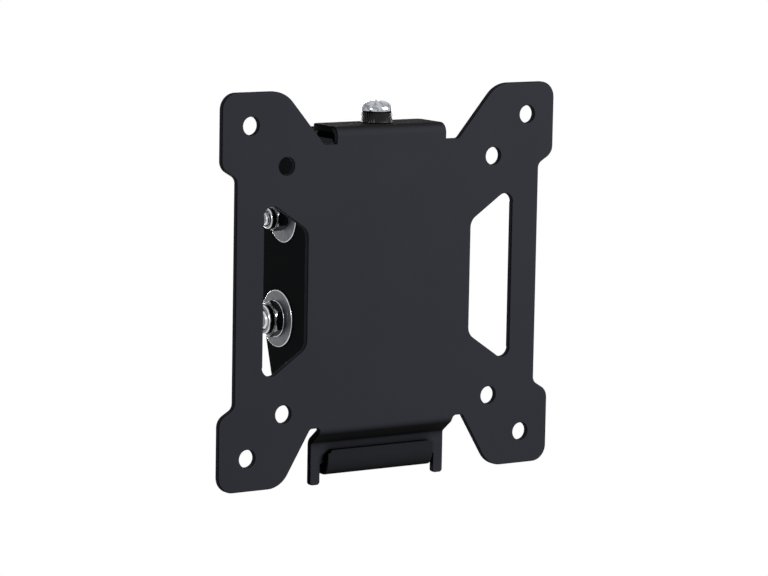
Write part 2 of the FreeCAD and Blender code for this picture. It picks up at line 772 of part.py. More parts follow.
def on_both_sides(stack):
    """Right-hand pieces and their mirror images, named by side."""
    pieces = {}
    for name, shape in stack.items():
        pieces[f"{name}_right"] = shape
        pieces[f"{name}_left"] = shape.mirror(Vector(0, 0, 0), X_AXIS)
    return pieces


def main():
    """Build every piece and write one file for each."""
    pieces = {
        "wall_plate": make_wall_plate(),
        "tilt_carriage": make_carriage(),
        "screen_plate": make_screen_plate(),
        "lock_nut": make_lock_nut(),
        "lock_collar": make_lock_collar(),
        "lock_screw": make_lock_screw(),
    }
    pieces.update(on_both_sides(pivot_stack()))
    pieces.update(on_both_sides(tilt_stack()))
    os.makedirs("parts", exist_ok=True)
    for name, shape in pieces.items():
        solids = shape.Solids
        if len(solids) != 1 or not solids[0].isValid():
            raise RuntimeError(f"{name}: {len(solids)} solids, valid {shape.isValid()}")
        solids[0].exportStep(f"parts/{name}.step")
        print(f"{name}: {solids[0].Volume:.1f} mm3")


main()
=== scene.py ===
"""Looks of a tilting wall bracket for a small flat screen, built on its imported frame.

Lengths are millimetres inside the classes and metres in the finished meshes. X runs to the right
for someone facing the wall, Y into the wall, Z up, and the wall face is at Y = 0. A turned piece
is made along its own axis, with its seat at 0, and then set on the bolt or screw that carries it.
"""

import logging
import math
from dataclasses import dataclass
from enum import Enum, IntEnum
from functools import cache
from typing import Any, Protocol, Sequence

import bmesh
import bpy
from bmesh.types import BMEdge, BMesh
from bpy.types import Material, Mesh, NodeSocket, NodeTree, Object
from mathutils import Matrix, Vector

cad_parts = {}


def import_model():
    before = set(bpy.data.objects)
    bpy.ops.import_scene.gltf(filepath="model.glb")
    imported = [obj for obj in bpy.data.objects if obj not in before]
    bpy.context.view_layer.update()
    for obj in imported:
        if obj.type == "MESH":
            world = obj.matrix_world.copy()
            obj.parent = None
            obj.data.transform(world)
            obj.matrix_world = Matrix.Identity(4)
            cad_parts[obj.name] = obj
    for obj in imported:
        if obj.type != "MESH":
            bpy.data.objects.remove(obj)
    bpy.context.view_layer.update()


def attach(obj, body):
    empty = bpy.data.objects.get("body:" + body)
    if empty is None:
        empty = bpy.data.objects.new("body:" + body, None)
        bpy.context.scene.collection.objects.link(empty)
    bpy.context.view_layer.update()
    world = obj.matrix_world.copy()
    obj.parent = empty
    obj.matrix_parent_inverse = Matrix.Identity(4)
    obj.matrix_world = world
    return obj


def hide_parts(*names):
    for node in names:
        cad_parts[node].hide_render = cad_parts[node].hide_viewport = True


LOG = logging.getLogger("bracket")
MM = 0.001
ORIGIN = (0, 0, 0)
UP = (0, 0, 1)
HEX_STEPS = 48
HEX_RIM = 0.96
THREAD_STEPS = 28
RINGS_APART = 8.0
MERGE_MM = 1e-4
MERGE_M = 1e-6
SAME_PLACE_M = 1e-5
Profile = Sequence[tuple[float, float]]


class Body(Enum):
    """The moving bodies of the bracket, as the record names them."""

    WALL = "wall"
    HEAD = "tilt_head"
    SLEEVE = "lock_sleeve"
    LOCK = "lock"


class Side(Enum):
    """The ear that a bolt goes through, with the direction of its tip along X."""

    LEFT = -1
    RIGHT = 1


class Slot(Enum):
    """The record's material slots that the new pieces go in."""

    BLACK_STEEL = "black_steel"
    ZINC_STEEL = "zinc_steel"
    BRIGHT_CHROME = "bright_chrome"
    BLACK_COLLAR = "black_collar"


class Sheet(IntEnum):
    """Material numbers of a sheet, beside its faces, which have 0."""

    ROUNDED = 1
    CUT = 2


class Plated(IntEnum):
    """Material numbers of a plated part, beside its faces, which have 0."""

    INSERT = 1
    CORNER = 2
    FLANK = 3


def linear(code: str) -> tuple[float, float, float, float]:
    """Turn an sRGB hex colour into a linear one.

    Args:
        code: colour such as "#1b1c1f".

    Returns:
        Linear red, green and blue, and an alpha of 1.
    """
    channels = []
    for start in (1, 3, 5):
        value = int(code[start:start + 2], 16) / 255
        channels.append(value / 12.92 if value <= 0.04045 else ((value + 0.055) / 1.055) ** 2.4)
    return (channels[0], channels[1], channels[2], 1.0)


def add_node(
    tree: NodeTree, kind: str, inputs: dict[Any, Any] | None = None, **settings: Any
) -> bpy.types.NodeOutputs:
    """Add one shader node with its settings, constants and links.

    Args:
        tree: node tree that gets the node.
        kind: type of the node, without Blender's prefix for shader nodes.
        inputs: a constant, or another node's output, by input name or number.
        settings: properties of the node itself.

    Returns:
        The node's outputs.
    """
    node = tree.nodes.new(f"ShaderNode{kind}")
    for name, value in settings.items():
        setattr(node, name, value)
    for name, value in (inputs or {}).items():
        if isinstance(value, NodeSocket):
            tree.links.new(value, node.inputs[name])
        else:
            node.inputs[name].default_value = value
    return node.outputs


@dataclass(frozen=True)
class Pattern:
    """A cloudy pattern with the size of its grain."""

    grain_mm: float
    detail: float
    roughness: float = 0.5
    distortion: float = 0.0


def patterned(name: str, *patterns: Pattern) -> tuple[Material, NodeTree, list[NodeSocket]]:
    """Start a material with patterns that are fixed to the piece.

    Args:
        name: name of the material.
        patterns: the patterns, if any.

    Returns:
        The material, its node tree and the output of each pattern.
    """
    material = bpy.data.materials.new(name)
    material.use_nodes = True
    tree = material.node_tree
    tree.nodes.clear()
    outputs = []
    for pattern in patterns:
        noise = {
            "Vector": add_node(tree, "TexCoord")["Object"],
            "Scale": 1 / (pattern.grain_mm * MM),
            "Detail": pattern.detail,
            "Roughness": pattern.roughness,
            "Distortion": pattern.distortion,
        }
        outputs.append(add_node(tree, "TexNoise", noise)["Fac"])
    return material, tree, outputs


@dataclass(frozen=True)
class Coat:
    """What every finish has: two tones, a range of roughness and a height of relief."""

    name: str
    tones: tuple[str, str]
    roughness: tuple[float, float]
    relief_mm: float

    def surface(
        self,
        tree: NodeTree,
        patterns: tuple[NodeSocket, NodeSocket, NodeSocket],
        shine: dict[str, float],
        painted_shades: Sequence[tuple[str, NodeSocket]] = (),
    ) -> None:
        """Complete the material: its colour, roughness, relief, shader and output.

        Args:
            tree: node tree of the material.
            patterns: what mixes the tones, spreads the roughness and shapes the relief.
            shine: constants on the shader's own sockets.
            painted_shades: colours of painted shade, each with the tones' share over it.
        """
        mix = {0: patterns[0], 6: linear(self.tones[0]), 7: linear(self.tones[1])}
        colour = add_node(tree, "Mix", mix, data_type="RGBA")[2]
        for code, share in painted_shades:
            mix = {0: share, 6: linear(code), 7: colour}
            colour = add_node(tree, "Mix", mix, data_type="RGBA")[2]
        low, high = self.roughness
        # The noise stays between about 0.3 and 0.7.
        spread = {
            "Value": patterns[1],
            "From Min": 0.3,
            "From Max": 0.7,
            "To Min": low,
            "To Max": high,
        }
        relief = {"Height": patterns[2], "Strength": 1.0, "Distance": self.relief_mm * MM}
        inputs = {
            "Base Color": colour,
            "Roughness": add_node(tree, "MapRange", spread)["Result"],
            "Normal": add_node(tree, "Bump", relief)["Normal"],
            **shine,
        }
        shader = add_node(tree, "BsdfPrincipled", inputs)["BSDF"]
        add_node(tree, "OutputMaterial", {"Surface": shader})


@dataclass(frozen=True)
class PowderCoat(Coat):
    """Satin black polyester powder coat, sprayed and baked on pressed steel.

    To the eye it is an even near-black whose highlights are wide and soft, because the baked
    powder leaves a fine orange peel. The peel is about 0.5 mm across on the real one and is drawn
    at 0.8 mm, so that it shows at all. The film varies slightly in gloss over a few centimetres.
    Sides and steep bends are coloured darker than the front and the back, as painted shade of how
    the lamps fall, and inner corners darker still by ambient occlusion, as painted shade.
    """

    tones: tuple[str, str] = ("#2f3035", "#33343a")
    roughness: tuple[float, float] = (0.52, 0.60)
    relief_mm: float = 0.012
    side_shade_colour: str = "#222121"
    corner_shade_colour: str = "#060607"
    corner_shade_mm: float = 2.6
    bend_low: float = 0.45
    specular: float = 0.0015
    peel_mm: float = 0.8
    film_mm: float = 22.0

    def make(self) -> Material:
        """Build the node material."""
        material, tree, (film, peel) = patterned(
            self.name, Pattern(self.film_mm, 3.0, 0.6), Pattern(self.peel_mm, 2.0, 0.45)
        )
        # Painted shade: sides and steep bends darker by their facing, inner corners darker by ambient
        # occlusion.
        painted_shades = (
            (self.side_shade_colour, self.facing_shade_share(tree)),
            (self.corner_shade_colour, self.corner_shade_share(tree)),
        )
        shine = {"Specular IOR Level": self.specular, "IOR": 1.5}
        self.surface(tree, (film, film, peel), shine, painted_shades)
        return material

    def corner_shade_share(self, tree: NodeTree) -> NodeSocket:
        """Measure with ambient occlusion how open a spot is, for painted shade in inner corners.

        Args:
            tree: node tree that gets the nodes.

        Returns:
            Output that runs from 0 in tight inner corners to 1 on open sheet.
        """
        near = {"Distance": self.corner_shade_mm * MM}
        # Ambient occlusion: inner corners and spots beside other parts get painted shade.
        free = add_node(tree, "AmbientOcclusion", near, samples=8)["AO"]
        limits = {"Value": free, "From Min": 0.3, "From Max": 0.95}
        return add_node(tree, "MapRange", limits)["Result"]

    def facing_shade_share(self, tree: NodeTree) -> NodeSocket:
        """Measure how squarely a face looks out along Y, in the bracket's own frame, for painted
        shade.

        Args:
            tree: node tree that gets the nodes.

        Returns:
            Output that runs from 0 on sides and steep bends to 1 on the front and the back.
        """
        both = {0: add_node(tree, "TexCoord")["Normal"], 1: (0.0, -1.0, 0.0)}
        toward = add_node(tree, "VectorMath", both, operation="DOT_PRODUCT")["Value"]
        either = add_node(tree, "Math", {0: toward}, operation="ABSOLUTE")[0]
        limits = {"Value": either, "From Min": self.bend_low, "From Max": 0.98}
        kind = "SMOOTHSTEP"
        return add_node(tree, "MapRange", limits, interpolation_type=kind)["Result"]


@dataclass(frozen=True)
class ZincPlate(Coat):
    """Bright zinc electroplate with a clear passivate on stamped or cold-formed steel.

    To the eye it is a light blue-grey metal with soft reflections, slightly clouded where the
    crystals of the plating differ, with fine tumbling scratches that blur its highlights.
    """

    tones: tuple[str, str] = ("#74767a", "#54575b")
    roughness: tuple[float, float] = (0.38, 0.50)
    relief_mm: float = 0.007
    cloud_mm: float = 1.4
    scratch_mm: float = 0.35

    def make(self) -> Material:
        """Build the node material."""
        material, tree, (cloud, scratch) = patterned(
            self.name, Pattern(self.cloud_mm, 4.0, 0.6), Pattern(self.scratch_mm, 3.0, 0.7, 1.2)
        )
        self.surface(tree, (cloud, cloud, scratch), {"Metallic": 1.0})
        return material


@dataclass(frozen=True)
class ChromePlate(Coat):
    """Bright chrome over nickel on a cold-headed screw.

    To the eye it is a clear, slightly blue mirror. The blank's faint waviness under the plating
    breaks its reflections up into small sparkles. Darker patches at random stand for handling
    smudges and, as painted reflection, for dark surroundings in the mirror.
    """

    tones: tuple[str, str] = ("#babdc1", "#777a7f")
    roughness: tuple[float, float] = (0.05, 0.13)
    relief_mm: float = 0.045
    wave_mm: float = 1.2
    smudge_and_reflection_mm: float = 1.3

    def make(self) -> Material:
        """Build the node material."""
        material, tree, (wave, smudge_and_reflection_noise) = patterned(
            self.name, Pattern(self.wave_mm, 2.0), Pattern(self.smudge_and_reflection_mm, 3.0, distortion=0.8)
        )
        # Darker patches: handling smudges, and painted reflection of dark surroundings.
        limits = {"Value": smudge_and_reflection_noise, "From Min": 0.40, "From Max": 0.62}
        smudge_and_reflection_share = add_node(tree, "MapRange", limits)["Result"]
        self.surface(tree, (smudge_and_reflection_share, wave, wave), {"Metallic": 1.0})
        return material


@dataclass(frozen=True)
class MouldedPlastic(Coat):
    """Black plastic from a polished or a spark-eroded mould.

    To the eye it is a deep neutral black. A polished mould leaves tight highlights with faint
    flow marks in them, and an eroded one an even fine grain that dulls them. The flow marks are
    eight times as wide as the grain.
    """

    grain_mm: float
    specular: float

    def make(self) -> Material:
        """Build the node material."""
        material, tree, (grain, flow) = patterned(
            self.name, Pattern(self.grain_mm, 3.0, 0.55), Pattern(8 * self.grain_mm, 1.0)
        )
        shine = {"Specular IOR Level": self.specular, "IOR": 1.5}
        self.surface(tree, (flow, flow, grain), shine)
        return material


class Finish(Enum):
    """The finishes that the pieces share."""

    POWDER = PowderCoat("satin_black_powder_coat")
    # Its side and corner shade colours, the corners reaching 7 mm, paint shade on the ears beside the
    # screen plate.
    DEEP_POWDER = PowderCoat(
        "deep_black_powder_coat", ("#232427", "#28292c"), side_shade_colour="#1b1c1d", corner_shade_mm=7.0
    )
    # Its darker side shade colour paints shade on the steep part of each edge rounding.
    ROLLED_EDGE = PowderCoat(
        "satin_black_powder_on_rolled_edges", side_shade_colour="#121214", bend_low=0.5
    )
    CUT_POWDER = PowderCoat("satin_black_powder_on_cut_faces", side_shade_colour="#2f3035")
    # Near-black on edge faces and roundings: painted shade along the sheets' edges.
    THICK_EDGE = PowderCoat(
        "thick_powder_edge", ("#040405", "#060607"), side_shade_colour="#040405", specular=0.001
    )
    ZINC = ZincPlate("bright_zinc_plate")
    # Dark flanks of the nuts: painted dark reflection.
    DULL_ZINC = ZincPlate("dull_zinc_flank", ("#34363a", "#212326"), (0.24, 0.40), cloud_mm=1.1)
    BRIGHT_ZINC = ZincPlate("bright_nut_zinc", ("#85888c", "#5d6064"), (0.12, 0.22), cloud_mm=0.8)
    # Light corners, rims and tips: painted highlight.
    BURNISHED = ZincPlate("burnished_zinc_edge", ("#d6d8da", "#b4b7ba"), (0.16, 0.26))
    CHROME = ChromePlate("bright_chrome_plate")
    GRIP = MouldedPlastic(
        "gloss_black_moulded_grip",
        ("#070708", "#0b0b0c"),
        (0.16, 0.24),
        relief_mm=0.004,
        grain_mm=0.6,
        specular=0.2,
    )
    NYLON = MouldedPlastic(
        "matt_black_nylon",
        ("#141415", "#1b1b1d"),
        (0.48, 0.60),
        relief_mm=0.010,
        grain_mm=0.5,
        specular=0.15,
    )

    @cache
    def material(self) -> Material:
        """Make the finish's material the first time it is asked for."""
        return self.value.make()


def new_mesh(name: str, bm: BMesh) -> Mesh:
    """Turn a bmesh into a mesh.

    Args:
        name: name of the mesh.
        bm: the bmesh, which is freed.

    Returns:
        The mesh.
    """
    mesh = bpy.data.meshes.new(name)
    bm.to_mesh(mesh)
    bm.free()
    return mesh


def new_object(name: str, data: bpy.types.ID) -> Object:
    """Make an object of a mesh, lamp or camera, and put it in the scene.

    Args:
        name: name of the object.
        data: what it shows.

    Returns:
        The object.
    """
    made = bpy.data.objects.new(name, data)
    bpy.context.scene.collection.objects.link(made)
    return made


def modify(piece: Object, name: str, kind: str, **settings: Any) -> None:
    """Give an object a modifier.

    Args:
        piece: the object.
        name: name of the modifier.
        kind: Blender's name of its type.
        settings: its properties.
    """
    modifier = piece.modifiers.new(name, kind)
    for setting, value in settings.items():
        setattr(modifier, setting, value)


def drawn(bm: BMesh, profile: Profile, closed: bool = False) -> list:
    """Draw a profile beside the Z axis.

    Args:
        bm: mesh that gets the profile.
        profile: corners as (radius, height).
        closed: True joins the last corner to the first.

    Returns:
        The corners and the edges between them.
    """
    verts = [bm.verts.new((0, radius, height)) for radius, height in profile]
    after = verts[1:] + verts[:1] if closed else verts[1:]
    return verts + [bm.edges.new(pair) for pair in zip(verts, after)]


def spun(bm: BMesh, profile: Profile, steps: int, closed: bool = False) -> None:
    """Turn a profile about the Z axis into a full round surface.

    Args:
        bm: mesh that gets the surface.
        profile: corners as (radius, height); a radius of 0 makes a pole.
        steps: number of steps round the axis.
        closed: True joins the last corner to the first.
    """
    made = drawn(bm, profile, closed)
    turn = 2 * math.pi
    bmesh.ops.spin(bm, geom=made, cent=ORIGIN, axis=UP, angle=turn, steps=steps, use_merge=True)


def arc(
    centre: tuple[float, float], radius: float, first: float, last: float, steps: int
) -> list[tuple[float, float]]:
    """Points of a rounded corner in a profile.

    Args:
        centre: (radius, height) of the corner's centre.
        radius: radius of the rounding.
        first: angle of the first point in degrees, 0 pointing away from the axis.
        last: angle of the last point in degrees, 90 pointing up.
        steps: number of stretches.

    Returns:
        The points from first to last.
    """
    points = []
    for step in range(steps + 1):
        angle = math.radians(first + (last - first) * step / steps)
        points.append((centre[0] + radius * math.cos(angle), centre[1] + radius * math.sin(angle)))
    return points


def ring_at(bm: BMesh, radius: float, height: float, steps: int) -> list:
    """Add an open level circle about the Z axis and give its vertices in order."""
    place = Matrix.Translation((0, 0, height))
    return bmesh.ops.create_circle(bm, radius=radius, segments=steps, matrix=place)["verts"]


def edges_of(verts: Sequence) -> list[BMEdge]:
    """Edges that run between two of the vertices."""
    chosen = set(verts)
    found = dict.fromkeys(edge for vert in verts for edge in vert.link_edges)
    return [edge for edge in found if set(edge.verts) <= chosen]


def bridged(bm: BMesh, rings: Sequence[list]) -> None:
    """Join each ring of vertices to the next with faces.

    Args:
        bm: mesh of the rings.
        rings: vertices of level rings about the Z axis.
    """
    # Rings in one plane would be joined crosswise, so each pair stands apart meanwhile.
    for lower, upper in zip(rings, rings[1:]):
        bmesh.ops.translate(bm, verts=upper, vec=(0, 0, RINGS_APART))
        bmesh.ops.bridge_loops(bm, edges=edges_of(lower) + edges_of(upper))
        bmesh.ops.translate(bm, verts=upper, vec=(0, 0, -RINGS_APART))


def turned(bm: BMesh, verts: Sequence, angle: float, axis: str) -> None:
    """Turn vertices about an axis through the origin."""
    bmesh.ops.rotate(bm, verts=verts, cent=ORIGIN, matrix=Matrix.Rotation(angle, 3, axis))


def is_sharp(edge: BMEdge, degrees: float) -> bool:
    """Whether an edge's two faces meet at more than an angle."""
    return len(edge.link_faces) == 2 and edge.calc_face_angle(0.0) > math.radians(degrees)


def rounded(
    bm: BMesh, edges: list[BMEdge], width: float, segments: int, material: int, clamp: bool
) -> None:
    """Round some edges.

    Args:
        bm: mesh that they belong to.
        edges: the edges.
        width: distance that the rounding takes from each side.
        segments: number of stretches across the rounding.
        material: number of its material, or -1 for its neighbours'.
        clamp: whether the width stops where two roundings would meet.
    """
    bmesh.ops.bevel(
        bm,
        geom=edges,
        offset=width,
        offset_type="OFFSET",
        segments=segments,
        profile=0.5,
        affect="EDGES",
        material=material,
        clamp_overlap=clamp,
    )


def hexagon_rings(bm: BMesh, flats: float, low: float, high: float, trim: tuple[bool, bool]) -> float:
    """Add a hexagon's sides, with its end corners turned off by a 30 degree cone.

    Args:
        bm: mesh that gets the sides.
        flats: width across the flats.
        low: height of the lower end.
        high: height of the upper end.
        trim: whether the lower and the upper end are turned off.

    Returns:
        Radius of the open round rim at both ends.
    """
    rim = flats / 2 * HEX_RIM
    slope = math.tan(math.radians(30))
    rings = [ring_at(bm, rim, low, HEX_STEPS)]
    for height, trimmed, sign in ((low, trim[0], 1), (high, trim[1], -1)):
        ring = ring_at(bm, flats / 2, height, HEX_STEPS)
        for vert in ring:
            off_flat = math.atan2(vert.co.x, vert.co.y) % (math.pi / 3) - math.pi / 6
            reach = flats / 2 / math.cos(off_flat)
            vert.co.xy *= 2 * reach / flats
            if trimmed:
                vert.co.z += sign * max(0.0, reach - rim) * slope
        rings.append(ring)
    rings.append(ring_at(bm, rim, high, HEX_STEPS))
    bridged(bm, rings)
    return rim


def threaded(bm: BMesh, radius: float, pitch: float, low: float, high: float, tip: float) -> None:
    """Add a closed threaded rod along Z, right-handed, with a turned-off upper end.

    Args:
        bm: mesh that gets the rod.
        radius: outer radius of the thread.
        pitch: rise of one turn.
        low: height of the flat lower end.
        high: height of the upper end.
        tip: how far the upper end's corner is turned off.
    """
    turns = math.ceil((high - low) / pitch) + 2
    core = radius - 0.61 * pitch
    start = low - pitch
    shape = ((0.0, core), (0.12, core), (0.48, radius), (0.60, radius), (1.0, core))
    rod = bmesh.new()
    bmesh.ops.spin(
        rod,
        geom=drawn(rod, [(reach, start + share * pitch) for share, reach in shape]),
        cent=ORIGIN,
        axis=UP,
        dvec=(0, 0, pitch / THREAD_STEPS),
        angle=2 * math.pi * turns,
        steps=THREAD_STEPS * turns,
    )
    bmesh.ops.remove_doubles(rod, verts=rod.verts, dist=MERGE_MM)
    for height, sign in ((low, -1), (high, 1)):
        bmesh.ops.bisect_plane(
            rod,
            geom=rod.verts[:] + rod.edges[:] + rod.faces[:],
            plane_co=(0, 0, height),
            plane_no=(0, 0, sign),
            clear_outer=True,
        )
    fill_holes(rod)
    for vert in rod.verts:
        reach = vert.co.xy.length
        allowed = radius - max(0.0, tip - (high - vert.co.z))
        if reach > allowed:
            vert.co.xy *= allowed / reach
    bmesh.ops.recalc_face_normals(rod, faces=rod.faces)
    joined_in(bm, rod)


def fill_holes(bm: BMesh) -> None:
    """Close every open end with a face."""
    bmesh.ops.holes_fill(bm, edges=[edge for edge in bm.edges if edge.is_boundary], sides=0)


def joined_in(bm: BMesh, extra: BMesh) -> None:
    """Move one mesh's geometry into another and free it."""
    carrier = new_mesh("carrier", extra)
    bm.from_mesh(carrier)
    bpy.data.meshes.remove(carrier)


def closed_up(bm: BMesh) -> None:
    """Merge doubled vertices and turn every face outwards."""
    bmesh.ops.remove_doubles(bm, verts=bm.verts, dist=MERGE_MM)
    bmesh.ops.recalc_face_normals(bm, faces=bm.faces)


def paint_rim_highlight(bm: BMesh, radius: float, height: float) -> None:
    """Give the corner that lies outside a radius and above a height the painted highlight."""
    for face in bm.faces:
        middle = face.calc_center_median()
        if middle.xy.length > radius and middle.z > height:
            face.material_index = Plated.CORNER


def along_x(point: Vector, side: Side) -> Matrix:
    """Placement that points a piece's axis outwards along X and its own Y axis up.

    Args:
        point: place of the piece's seat in millimetres.
        side: ear that the piece belongs to.

    Returns:
        Matrix from the piece's own millimetres to the object's metres.
    """
    outward = Vector((side.value, 0, 0))
    upward = Vector(UP)
    turn = Matrix((upward.cross(outward), upward, outward)).transposed().to_4x4()
    return Matrix.Translation(point * MM) @ turn @ Matrix.Scale(MM, 4)


def along_z(point: Vector) -> Matrix:
    """Placement in metres that leaves a piece's axis upright on a point in millimetres."""
    return Matrix.Translation(point * MM) @ Matrix.Scale(MM, 4)


@dataclass
class Piece:
    """One finished piece: the CAD node that it stands for, its last process and its body."""

    node: str
    process: str
    body: Body
    slot: Slot
    finishes: tuple[Finish, ...]
    smooth_angle: float = 34.0
    flat_faces: bool = False
    edge_mm: float = 0.0
    edge_angle: float = 24.0

    def finish(self, bm: BMesh, place: Matrix) -> None:
        """Turn a mesh in millimetres into the piece's object and set it on its body.

        Args:
            bm: the mesh, which is freed.
            place: matrix to the object's metres.
        """
        name = f"{self.node}_{self.process}"
        bmesh.ops.transform(bm, matrix=place, verts=bm.verts)
        mesh = new_mesh(name, bm)
        for finish in self.finishes:
            mesh.materials.append(finish.material())
        mesh.shade_smooth()
        piece = new_object(name, mesh)
        if self.edge_mm:
            self.break_edges(piece)
        if self.edge_mm or self.flat_faces:
            self.flatten(piece)
        else:
            mesh.set_sharp_from_angle(angle=math.radians(self.smooth_angle))
        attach(piece, self.body.value)
        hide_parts(self.node)
        LOG.info("%s: %d faces on %s", name, len(mesh.polygons), self.body.value)

    def break_edges(self, piece: Object) -> None:
        """Round the piece's sharp edges a little, as blanking and plating leave them.

        Args:
            piece: the piece's object.
        """
        size = {"width": self.edge_mm * MM, "segments": 2, "use_clamp_overlap": True}
        limit = {"limit_method": "ANGLE", "angle_limit": math.radians(self.edge_angle)}
        # The rounded edges take the light corner zinc, a painted highlight.
        modify(piece, "broken_edges", "BEVEL", material=Plated.CORNER, **size, **limit)

    def flatten(self, piece: Object) -> None:
        """Let flat faces keep their own shading beside rounded edges."""
        modify(piece, "flat_faces", "WEIGHTED_NORMAL", mode="FACE_AREA", weight=100, keep_sharp=True)


@dataclass
class SheetParts:
    """The three folded sheets: screen plate, tilting carriage and wall plate.

    Their shapes are the CAD's. Each gets a merged copy whose cut edges are rounded, because the
    powder builds up to a soft edge there.
    """

    sheet_mm: float = 2.0
    edge_mm: float = 0.36
    edge_angle: float = 50.0
    merge_angle: float = 0.8
    opening_edge: float = 45.2
    opening_gain: float = 0.18
    foot_top: float = -45.0
    foot_half: float = 18.4
    foot_spread: float = 0.9
    foot_drop: float = 0.5
    fold_y: float = -35.7
    fold_z: float = -55.0
    fold_r: float = 3.1
    corner_power: float = 6.0
    lip_curve: float = 5.6

    def build(self) -> None:
        """Make the three sheets."""
        deep = Finish.DEEP_POWDER
        # The near-black edge finish paints shade on the carriage's cut faces and the wall plate's
        # roundings.
        edge = Finish.THICK_EDGE
        front = (Finish.POWDER, Finish.ROLLED_EDGE, Finish.CUT_POWDER)
        self.coat("screen_plate", Body.HEAD, front)
        self.coat("tilt_carriage", Body.HEAD, (deep, deep, edge))
        self.coat("wall_plate", Body.WALL, (deep, edge, deep))

    def coat(self, node: str, body: Body, finishes: tuple[Finish, ...]) -> None:
        """Copy one sheet, merge its triangles and round its cut edges.

        Args:
            node: CAD node of the sheet.
            body: body that carries it.
            finishes: powder on its faces, on its rounded edges and on its cut faces.
        """
        bm = bmesh.new()
        bm.from_mesh(bpy.data.objects[node].data)
        bmesh.ops.remove_doubles(bm, verts=bm.verts, dist=MERGE_M)
        flat = math.radians(self.merge_angle)
        bmesh.ops.dissolve_limit(bm, angle_limit=flat, verts=bm.verts, edges=bm.edges)
        if node == "screen_plate":
            self.narrow_openings(bm)
        if node == "tilt_carriage":
            self.fill_out_foot(bm)
        self.mark_cut_faces(bm)
        self.round_edges(bm)
        piece = Piece(node, "coated", body, Slot.BLACK_STEEL, finishes, flat_faces=True)
        piece.finish(bm, Matrix.Identity(4))

    def narrow_openings(self, bm: BMesh) -> None:
        """Give the openings' outer edges back what the rounding takes from their outline.

        Args:
            bm: the screen plate's merged mesh in metres.
        """
        for vert in bm.verts:
            if abs(abs(vert.co.x) - self.opening_edge * MM) < SAME_PLACE_M:
                vert.co.x -= math.copysign(self.opening_gain * MM, vert.co.x)

    def round_edges(self, bm: BMesh) -> None:
        """Round the cut edges, and keep what the tight notches push out inside the sheet's box.

        Args:
            bm: the sheet's merged mesh in metres.
        """
        low = [min(vert.co[axis] for vert in bm.verts) for axis in range(3)]
        high = [max(vert.co[axis] for vert in bm.verts) for axis in range(3)]
        cut = [edge for edge in bm.edges if is_sharp(edge, self.edge_angle)]
        rounded(bm, cut, self.edge_mm * MM, 4, Sheet.ROUNDED, False)
        for vert in bm.verts:
            for axis in range(3):
                vert.co[axis] = min(max(vert.co[axis], low[axis]), high[axis])

    def fill_out_foot(self, bm: BMesh) -> None:
        """Square the hooked foot's back corner, ease its lip's curve and widen it a little.

        Args:
            bm: the carriage's merged mesh in metres.
        """
        near = 0.01
        for vert in bm.verts:
            if vert.co.z > self.foot_top * MM:
                continue
            if abs(abs(vert.co.x) - self.foot_half * MM) < SAME_PLACE_M:
                vert.co.x += math.copysign(self.foot_spread * MM, vert.co.x)
            back = vert.co.y / MM - self.fold_y
            down = self.fold_z - vert.co.z / MM
            reach = math.hypot(back, down)
            if down > -near:
                vert.co.z -= self.foot_drop * MM
            if down < -near or reach < self.fold_r - 0.5 * self.sheet_mm:
                continue
            if back < -near:
                eased = self.lip_curve - self.fold_r
                vert.co.z += eased * (1 - down / self.fold_r) * MM
            elif back > near and down > near:
                power = self.corner_power
                swell = (back / reach) ** power + (down / reach) ** power
                share = swell ** (-1 / power)
                vert.co.y = (self.fold_y + back * share) * MM
                vert.co.z = (self.fold_z - self.foot_drop - down * share) * MM

    def mark_cut_faces(self, bm: BMesh) -> None:
        """Find the faces of the cut edges, which are as wide as the sheet is thick.

        Args:
            bm: the sheet's merged mesh in metres.
        """
        across = 1.05 * self.sheet_mm * MM
        for face in bm.faces:
            sharp = [edge for edge in face.edges if is_sharp(edge, self.edge_angle)]
            spans = [edge.calc_length() for edge in face.edges if edge not in sharp]
            if len(sharp) > 1 and spans and max(spans) < across:
                face.material_index = Sheet.CUT


class TurnedPart(Protocol):
    """A bolt, nut or washer."""

    def mesh(self) -> BMesh:
        """Make the part along Z on its seat, in millimetres."""


@dataclass
class HexBolt:
    """Hexagon head bolt with a plain shank and a rolled thread at its tip."""

    bolt_r: float
    pitch: float
    flats: float
    head_h: float
    length: float
    thread_length: float
    tip: float = 0.6
    dish: float = 0.35
    dish_share: float = 0.8
    fillet: float = 0.3
    overlap: float = 0.2

    def mesh(self) -> BMesh:
        """Make the bolt along Z, its head below 0 and its tip at the top.

        Returns:
            The mesh in millimetres.
        """
        bm = bmesh.new()
        rim = hexagon_rings(bm, self.flats, -self.head_h, 0, (True, False))
        floor = self.dish - self.head_h
        dish = [(rim, -self.head_h), (rim * self.dish_share, floor), (0, floor)]
        spun(bm, dish, HEX_STEPS)
        run_out = self.length - self.thread_length
        slope = 0.3 * self.pitch
        shank = [
            (rim, 0),
            *arc((self.bolt_r + self.fillet, self.fillet), self.fillet, 270, 180, 3),
            (self.bolt_r, run_out - slope),
            (self.bolt_r - slope, run_out),
            (0, run_out),
        ]
        spun(bm, shank, HEX_STEPS)
        closed_up(bm)
        low = run_out - self.overlap
        threaded(bm, self.bolt_r, self.pitch, low, self.length, self.tip)
        paint_rim_highlight(bm, self.bolt_r - 1.3 * self.tip, self.length - self.tip)
        return bm


